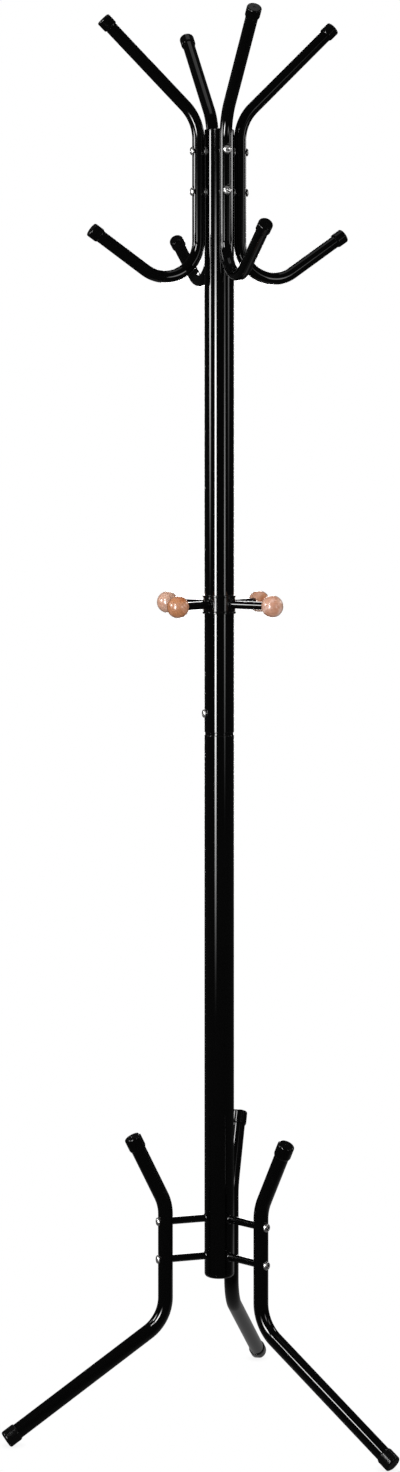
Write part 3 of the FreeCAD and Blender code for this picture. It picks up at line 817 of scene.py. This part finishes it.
def collar():
    """Moulded ring with rounded lips and four bosses that grow out in soft fillets."""
    low, high = cad_box("knob_collar")
    edge = rounded([(COLLAR_BORE, low.z, 0.2), (COLLAR_LIP, low.z, 0.7),
                    (COLLAR_LIP, low.z + LIP_HEIGHT, 0.5),
                    (COLLAR_WEB, low.z + LIP_HEIGHT + LIP_SLOPE, 0.5)])
    rows = round((high.z - low.z - 2 * LIP_HEIGHT - 2) / COLLAR_ROW)
    first, last = edge[-1].y, low.z + high.z - edge[-1].y
    web = [Vector((COLLAR_WEB, first + (last - first) * k / rows)) for k in range(1, rows)]
    mirrored = [Vector((p.x, low.z + high.z - p.y)) for p in reversed(edge)]
    return loft([collar_ring(radius, height) for radius, height in edge + web + mirrored],
                wrap=True)


def knob_rod():
    """Painted rod with a chamfered shoulder and a thinner tip at each end."""
    length = ROD_TO - ROD_FROM
    inner_end, outer_end = -INNER_TIP_LENGTH, length + OUTER_TIP_LENGTH
    return lathe(rounded([(0, inner_end, 0), (INNER_TIP_RADIUS, inner_end, 0.4),
                          (INNER_TIP_RADIUS, 0, 0), (ROD_RADIUS, 0, 0.6),
                          (ROD_RADIUS, length, 0.3), (OUTER_TIP_RADIUS, length, 0),
                          (OUTER_TIP_RADIUS, outer_end, 0.4), (0, outer_end, 0)]),
                 SMALL_SIDES)


def knob_ball():
    """Turned ball about its own centre, bored from below with a softened mouth."""
    floor = ROD_TO - BALL_REACH
    start = math.asin((BALL_BORE + MOUTH_WIDTH) / BALL_RADIUS)
    arc = []
    for k in range(BALL_STEPS):
        angle = start + (math.pi - start) * k / BALL_STEPS
        arc.append((BALL_RADIUS * math.sin(angle), -BALL_RADIUS * math.cos(angle)))
    bore = [(0, floor), (BALL_BORE, floor), (BALL_BORE, arc[0][1] + MOUTH_DEPTH)]
    return lathe(bore + arc + [(0, BALL_RADIUS)], TUBE_SIDES)


def grain_along(ball, points, number):
    """Keeps each point's place in the turning blank and how pale that blank is."""
    lean = Matrix.Rotation(math.radians(12 + 7 * number), 4, "X")
    pith = Vector((0.021 + 0.004 * number, 0.013 * number, 0.11 * number))
    places = [value for p in points for value in (lean @ (p * MM)) + pith]
    ball.data.attributes.new("grain", "FLOAT_VECTOR", "POINT").data.foreach_set(
        "vector", places)
    ball.data.attributes.new("tone", "FLOAT", "POINT").data.foreach_set(
        "value", [BALL_TONES[number - 1]] * len(points))


def make_knobs():
    piece("knob_collar_moulded", collar(), "black_plastic", "knob_collar")
    for number, direction in enumerate(KNOB_DIRECTIONS, start=1):
        rod = aimed(knob_rod(), Vector((ROD_FROM, 0, KNOB_HEIGHT)), OUTWARD)
        piece(f"knob_arm_{number}_painted", turned(rod, direction), "black_paint",
              f"knob_arm_{number}")
        shape = knob_ball()
        ball = aimed(shape, Vector((BALL_REACH, 0, KNOB_HEIGHT)), OUTWARD)
        made = piece(f"knob_ball_{number}_turned", turned(ball, direction),
                     "lacquered_wood", f"knob_ball_{number}")
        grain_along(made, shape[0], number)


def finish_cad_nodes():
    """The nuts keep their CAD shape and get their plating."""
    for name in ("hook_rivet_nuts", "knob_weld_nuts", "joint_weld_nut"):
        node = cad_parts[name]
        for held in node.material_slots:
            held.material = MATERIALS["zinc_steel"]


# ---- Studio -----------------------------------------------------------------------------

VIEW_AZIMUTH = -107.5        # direction from the pole to the camera
VIEW_PLACE = (-1.148, -3.694, 1.263)
LENS, SENSOR_WIDTH = 73.6, 36.0
LENS_SHIFT = (-0.0215, -0.2016)
NEAREST = 0.05

PANEL_DISTANCE = 2.5
GLOW_CURVE = 1.4

FLOOR_HALF, FLOOR_DROP = 14.0, 0.0003
SHADE_REACH, SHADE_LEVEL = 0.012, 0.90       # contact shade under the feet
POOL_PLACE = (0.24, 0.46, 0.0)               # pool of light that only reflections see
POOL_GLOW, POOL_RIM_GLOW = 0.26, 0.03
FLOOR_BOUNCE = 0.50
ROOM_GLOW, ROOM_BOUNCE = 0.02, 0.40


def towards(azimuth):
    """Level direction at an azimuth round the pole."""
    return Vector((math.cos(math.radians(azimuth)), math.sin(math.radians(azimuth)), 0))


def make_camera():
    data = bpy.data.cameras.new("camera")
    data.sensor_width = SENSOR_WIDTH
    data.lens = LENS
    data.shift_x, data.shift_y = LENS_SHIFT
    data.clip_start = NEAREST
    camera = bpy.data.objects.new("camera", data)
    camera.location = VIEW_PLACE
    camera.rotation_euler = towards(VIEW_AZIMUTH + 180).to_track_quat("-Z", "Y").to_euler()
    bpy.context.scene.collection.objects.link(camera)
    bpy.context.scene.camera = camera


def area_light(name, width, height, glow, lights_wood, mirrored):
    """Light panel of a given radiance that lights dull surfaces, is mirrored, or both."""
    data = bpy.data.lights.new(name, "AREA")
    data.shape = "RECTANGLE"
    data.size, data.size_y = width, height
    data.energy = math.pi * width * height * glow
    light = bpy.data.objects.new(name, data)
    light.visible_camera = False
    light.visible_diffuse = lights_wood
    light.visible_glossy = mirrored
    bpy.context.scene.collection.objects.link(light)
    return light


def fade_by_height(data, swell_to, fall_from):
    """Makes a panel's glow swell from its bottom edge and die away towards its top."""
    data.use_nodes = True
    tree = data.node_tree
    place = add(tree, "ShaderNodeNewGeometry").outputs["Parametric"]
    height = add(tree, "ShaderNodeSeparateXYZ", {"Vector": place}).outputs["Y"]
    swell = remap(tree, height, 0.0, swell_to, 0.0, 1.0)
    fall = remap(tree, height, fall_from, 1.0, 1.0, 0.0)
    lamp = next(n for n in tree.nodes if n.bl_idname == "ShaderNodeEmission")
    tree.links.new(maths(tree, "POWER", maths(tree, "MULTIPLY", swell, fall), GLOW_CURVE),
                   lamp.inputs["Strength"])


def softbox(name, azimuth, width, heights, glow, lights_wood=True, mirrored=True):
    """Upright panel that faces the pole, brightest between the two middle heights.
    Azimuth is from the camera's direction, positive to the camera's right."""
    bottom, full_from, full_to, top = heights
    light = area_light(name, width, top - bottom, glow, lights_wood, mirrored)
    fade_by_height(light.data, (full_from - bottom) / (top - bottom),
                   (full_to - bottom) / (top - bottom))
    out = towards(VIEW_AZIMUTH + azimuth)
    light.location = out * PANEL_DISTANCE + UP * (bottom + top) / 2
    light.rotation_euler = (-out).to_track_quat("-Z", "Y").to_euler()


def overhead(name, height, width, glow, mirrored=True):
    """Level light panel above the rack."""
    light = area_light(name, width, width, glow, True, mirrored)
    light.location = (0, 0, height)


def camera_only(tree, seen, unseen):
    """Shader that the camera sees, and another one for all other rays."""
    path = add(tree, "ShaderNodeLightPath").outputs["Is Camera Ray"]
    return add(tree, "ShaderNodeMixShader", {0: path, 1: unseen, 2: seen}).outputs[0]


def with_bounce(tree, mirrored, soft):
    """Brightness for mirror reflections, with more for the soft light on dull surfaces."""
    path = add(tree, "ShaderNodeLightPath").outputs["Is Diffuse Ray"]
    return maths(tree, "ADD", mirrored, maths(tree, "MULTIPLY", path, soft))


def floor_material():
    """White with a faint contact shade; reflections see a dim pool of light on it."""
    material = bpy.data.materials.new("pale_floor")
    material.use_nodes = True
    tree = material.node_tree
    tree.nodes.clear()
    shade = add(tree, "ShaderNodeAmbientOcclusion",
                {"Distance": SHADE_REACH}).outputs["AO"]
    seen = add(tree, "ShaderNodeEmission",
               {"Color": grey(1.0),
                "Strength": remap(tree, shade, 0.2, 1.0, SHADE_LEVEL, 1.0)})
    away = add(tree, "ShaderNodeVectorMath", {0: object_place(tree), 1: POOL_PLACE},
               operation="DISTANCE").outputs["Value"]
    pool = remap(tree, away, 0.2, 0.8, POOL_GLOW, POOL_RIM_GLOW)
    unseen = add(tree, "ShaderNodeEmission",
                 {"Color": grey(1.0), "Strength": with_bounce(tree, pool, FLOOR_BOUNCE)})
    add(tree, "ShaderNodeOutputMaterial",
        {"Surface": camera_only(tree, seen.outputs[0], unseen.outputs[0])})
    return material


def make_floor():
    """Plain pale floor, a hair below the feet."""
    size = FLOOR_HALF
    mesh = bpy.data.meshes.new("floor")
    corners = [(-size, -size, 0), (size, -size, 0), (size, size, 0), (-size, size, 0)]
    mesh.from_pydata(corners, [], [(0, 1, 2, 3)])
    floor = bpy.data.objects.new("floor", mesh)
    floor.location.z = -FLOOR_DROP
    bpy.context.scene.collection.objects.link(floor)
    mesh.materials.append(floor_material())


def make_world():
    """White surroundings for the camera, nearly dark ones for reflections."""
    world = bpy.data.worlds.new("studio")
    bpy.context.scene.world = world
    world.use_nodes = True
    tree = world.node_tree
    tree.nodes.clear()
    glow = with_bounce(tree, ROOM_GLOW, ROOM_BOUNCE)
    seen = add(tree, "ShaderNodeBackground", {"Color": grey(1.0), "Strength": 1.0})
    unseen = add(tree, "ShaderNodeBackground", {"Color": grey(1.0), "Strength": glow})
    add(tree, "ShaderNodeOutputWorld",
        {"Surface": camera_only(tree, seen.outputs[0], unseen.outputs[0])})
    bpy.context.scene.view_settings.view_transform = "Standard"


def make_front_strips():
    """Strips that make the bright lines in the paint, as seen from the photo's side."""
    softbox("key_left", azimuth=-28.3, width=0.55, heights=(0.02, 0.92, 1.36, 1.90),
            glow=29.0, lights_wood=False)
    softbox("high_left", azimuth=-35, width=0.42, heights=(1.90, 2.00, 2.50, 2.70),
            glow=22.0, lights_wood=False)
    softbox("side_left", azimuth=-76, width=0.55, heights=(0.88, 1.72, 2.0, 2.3),
            glow=20.0)
    softbox("fill_right", azimuth=43.7, width=0.42, heights=(0.40, 1.05, 1.06, 1.95),
            glow=4.6)
    softbox("side_right", azimuth=78.5, width=0.50, heights=(0.88, 1.72, 2.0, 2.3),
            glow=2.4)


def make_back_strips():
    """Strips and a faint ceiling panel that draw the tubes' edges and light the back."""
    softbox("edge_left", azimuth=-104, width=0.35, heights=(1.6, 1.8, 2.2, 2.6), glow=5.0)
    softbox("edge_right", azimuth=122, width=0.40, heights=(1.6, 1.8, 2.2, 2.6), glow=7.0)
    softbox("back_middle", azimuth=180, width=0.35, heights=(0.1, 0.6, 1.6, 2.1),
            glow=10.0, lights_wood=False)
    softbox("back_high", azimuth=180, width=1.0, heights=(2.4, 2.6, 3.0, 3.2), glow=5.0)
    overhead("ceiling", height=3.6, width=1.2, glow=0.6)


def make_wood_lights():
    """Large soft lights for the wood and other dull surfaces, never mirrored in gloss."""
    softbox("wood_key", azimuth=-30, width=1.6, heights=(0.2, 0.6, 2.2, 2.6), glow=2.6,
            mirrored=False)
    softbox("wood_fill", azimuth=45, width=2.0, heights=(0.4, 0.8, 2.2, 2.6), glow=1.6,
            mirrored=False)
    overhead("wood_top", height=3.7, width=1.5, glow=5.0, mirrored=False)


make_camera()
make_world()
make_floor()
make_front_strips()
make_back_strips()
make_wood_lights()
make_pole()
make_tubes(HOOK, HOOK_CAP, "hook_upper_cap", "hook_lower_cap", "black_plastic")
make_tubes(LEG, LEG_CAP, "leg_top_cap", "foot_cap", "foot_rubber")
make_struts()
make_screws()
make_knobs()
finish_cad_nodes()
